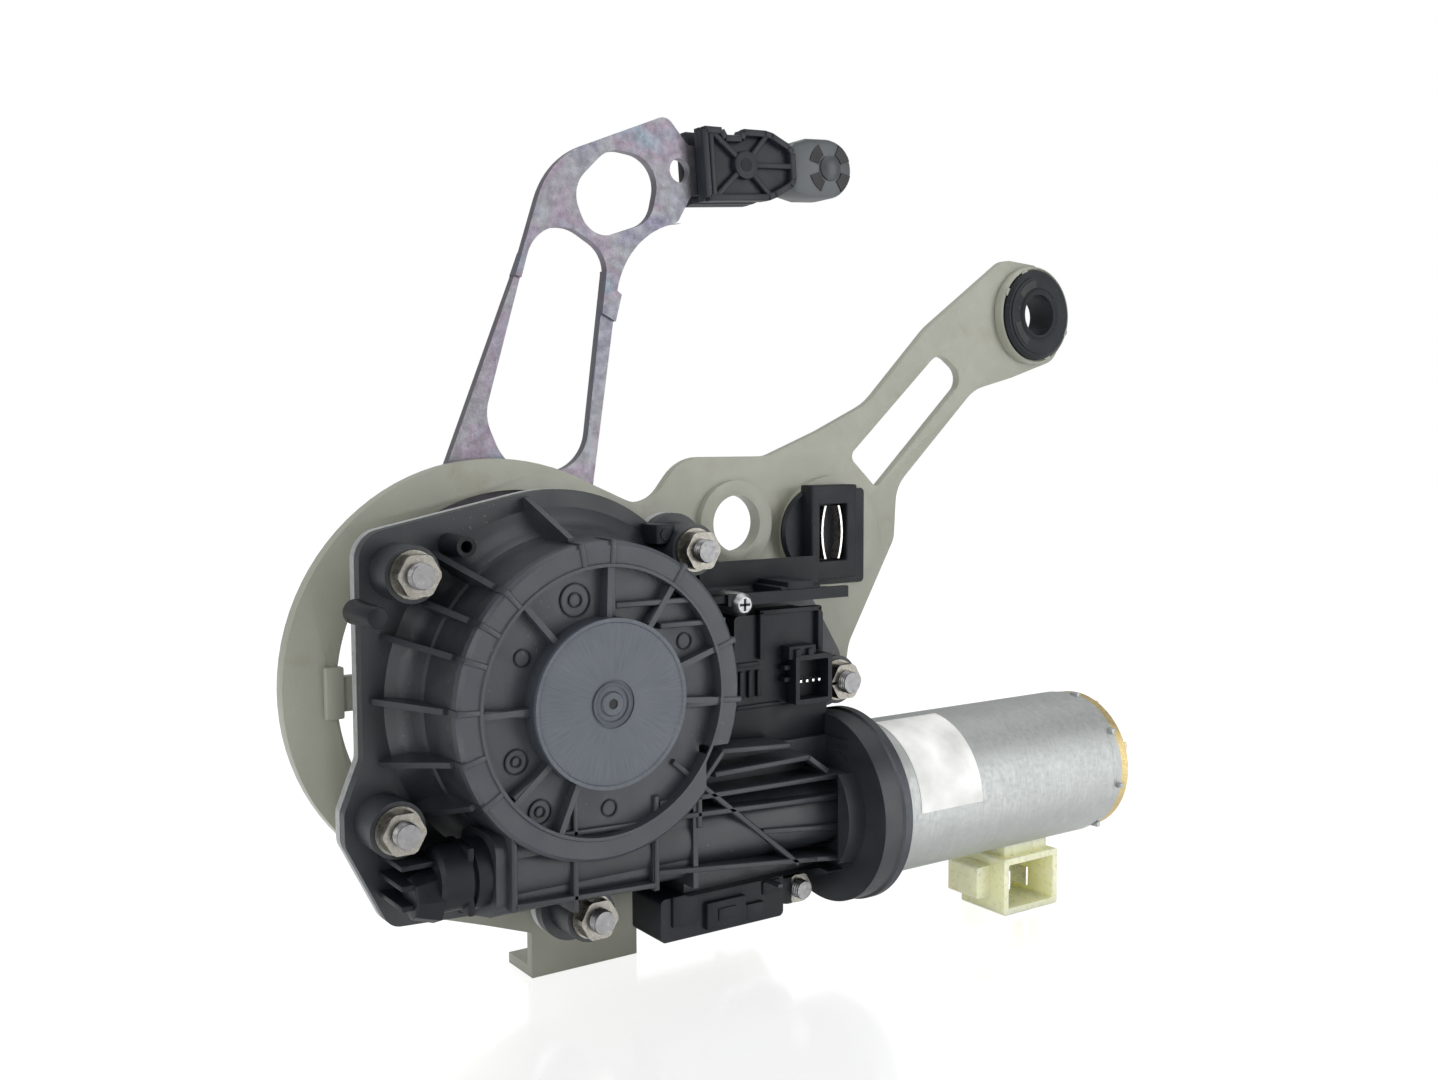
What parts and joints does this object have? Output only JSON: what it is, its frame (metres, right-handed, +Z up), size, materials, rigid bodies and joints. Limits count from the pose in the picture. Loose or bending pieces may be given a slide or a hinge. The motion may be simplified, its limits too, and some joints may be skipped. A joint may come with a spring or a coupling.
{
  "type": "trunk lid actuator",
  "caption": "Electric trunk lid actuator: motor, worm gearbox with clutch and planetary stage, swinging lever with link, on a sheet bracket with slotted arm.",
  "frame": {"origin": "centre of the ear bore in the front face of the bracket's sheet", "axes": "+X along the motor away from the gearbox, +Y through the bracket to its back, +Z up"},
  "size_m": [0.2781, 0.0792, 0.2445],
  "materials": {
    "bracket_paint": "semi-gloss paint",
    "cover_plastic": "fine-grained moulding",
    "base_casting": "as cast",
    "seal_rubber": "smooth",
    "stud_steel": "zinc plated",
    "nut_steel": "nickel plated, warm",
    "post_steel": "turned",
    "gear_steel": "ground",
    "wheel_plastic": "moulded and hobbed",
    "clutch_steel": "faced",
    "coil_copper": "wound wire",
    "bronze": "sintered",
    "shaft_steel": "ground",
    "lever_steel": "passivated, mottled",
    "link_plastic": "fine-grained moulding",
    "head_plastic": "smooth moulding",
    "claw_plastic": "smooth moulding",
    "can_steel": "galvanised",
    "end_plate_steel": "yellow passivated",
    "magnet_ferrite": "pressed and fired",
    "core_steel": "stacked sheets",
    "commutator_copper": "turned",
    "brush_card": "laminate",
    "brush_carbon": "pressed carbon",
    "plug_plastic": "natural moulding",
    "terminal_tin": "tinned",
    "board_laminate": "lacquered",
    "spring_steel": "rolled strip",
    "socket_rubber": "moulded"
  },
  "bodies": {
    "housing": {"bracket": "bracket_paint", "gearbox_cover": "cover_plastic", "gearbox_base": "base_casting", "seam_seal": "seal_rubber", "housing_studs": "stud_steel", "housing_nuts": "nut_steel", "spacer_posts": "post_steel", "ring_gear": "gear_steel", "front_bushing": "bronze", "output_bushing": "bronze", "clutch_coil": "coil_copper", "motor_front_plate": "can_steel", "motor_can": "can_steel", "motor_end_plate": "end_plate_steel", "worm_bearing_left": "bronze", "worm_bearing_right": "bronze", "motor_front_bushing": "bronze", "motor_rear_bushing": "bronze", "magnets": "magnet_ferrite", "brush_holder": "brush_card", "brushes": "brush_carbon", "motor_connector": "plug_plastic", "motor_terminals": "terminal_tin", "electronics_housing": "cover_plastic", "socket_pins": "terminal_tin", "circuit_board": "board_laminate", "cable_guide": "cover_plastic", "lower_connector": "cover_plastic", "worm_end_cap": "cover_plastic", "clip_block": "cover_plastic", "clip_leaves": "spring_steel", "arm_socket": "socket_rubber"},
    "output": {"output_shaft": "shaft_steel", "planet_carrier": "gear_steel", "planet_pins": "shaft_steel", "lever": "lever_steel", "lever_nut": "stud_steel"},
    "sun": {"sun_gear": "gear_steel"},
    "planet_1": {"planet_gear_1": "gear_steel"},
    "planet_2": {"planet_gear_2": "gear_steel"},
    "planet_3": {"planet_gear_3": "gear_steel"},
    "rotor": {"motor_shaft": "shaft_steel", "worm": "shaft_steel", "armature_core": "core_steel", "armature_windings": "coil_copper", "commutator": "commutator_copper"},
    "wheel": {"worm_wheel": "wheel_plastic", "clutch_rotor": "clutch_steel"},
    "link": {"link": "link_plastic", "link_pin": "shaft_steel", "link_head": "head_plastic", "head_claws": "claw_plastic"}
  },
  "joints": [
    {"name": "lever_turn", "type": "hinge", "parent": "housing", "child": "output", "pos_m": [-0.0689, 0.009, -0.0403], "axis": [0, -1, 0], "range_deg": [0, 95]},
    {"name": "sun_turn", "type": "hinge", "parent": "housing", "child": "sun", "pos_m": [-0.0689, -0.018, -0.0403], "axis": [0, -1, 0], "range_deg": [0, 475]},
    {"name": "planet_1_turn", "type": "hinge", "parent": "output", "child": "planet_1", "pos_m": [-0.05015, -0.018, -0.0403], "axis": [0, -1, 0], "range_deg": [-254, 0]},
    {"name": "planet_2_turn", "type": "hinge", "parent": "output", "child": "planet_2", "pos_m": [-0.07827, -0.018, -0.02406], "axis": [0, -1, 0], "range_deg": [-254, 0]},
    {"name": "planet_3_turn", "type": "hinge", "parent": "output", "child": "planet_3", "pos_m": [-0.07827, -0.018, -0.05654], "axis": [0, -1, 0], "range_deg": [-254, 0]},
    {"name": "rotor_turn", "type": "hinge", "parent": "housing", "child": "rotor", "pos_m": [0.0111, -0.03, -0.0817], "axis": [1, 0, 0], "continuous": true},
    {"name": "wheel_turn", "type": "hinge", "parent": "housing", "child": "wheel", "pos_m": [-0.0689, -0.03, -0.0403], "axis": [0, -1, 0], "continuous": true},
    {"name": "link_swing", "type": "hinge", "parent": "output", "child": "link", "pos_m": [0.0066, 0.0095, 0.1073], "axis": [0, -1, 0], "range_deg": [-25, 25]}
  ],
  "couplings": [
    {"joint": "sun_turn", "follows": "lever_turn", "ratio": 5},
    {"joint": "planet_1_turn", "follows": "lever_turn", "ratio": -2.6667},
    {"joint": "planet_2_turn", "follows": "lever_turn", "ratio": -2.6667},
    {"joint": "planet_3_turn", "follows": "lever_turn", "ratio": -2.6667},
    {"joint": "wheel_turn", "follows": "rotor_turn", "ratio": -0.013889}
  ]
}
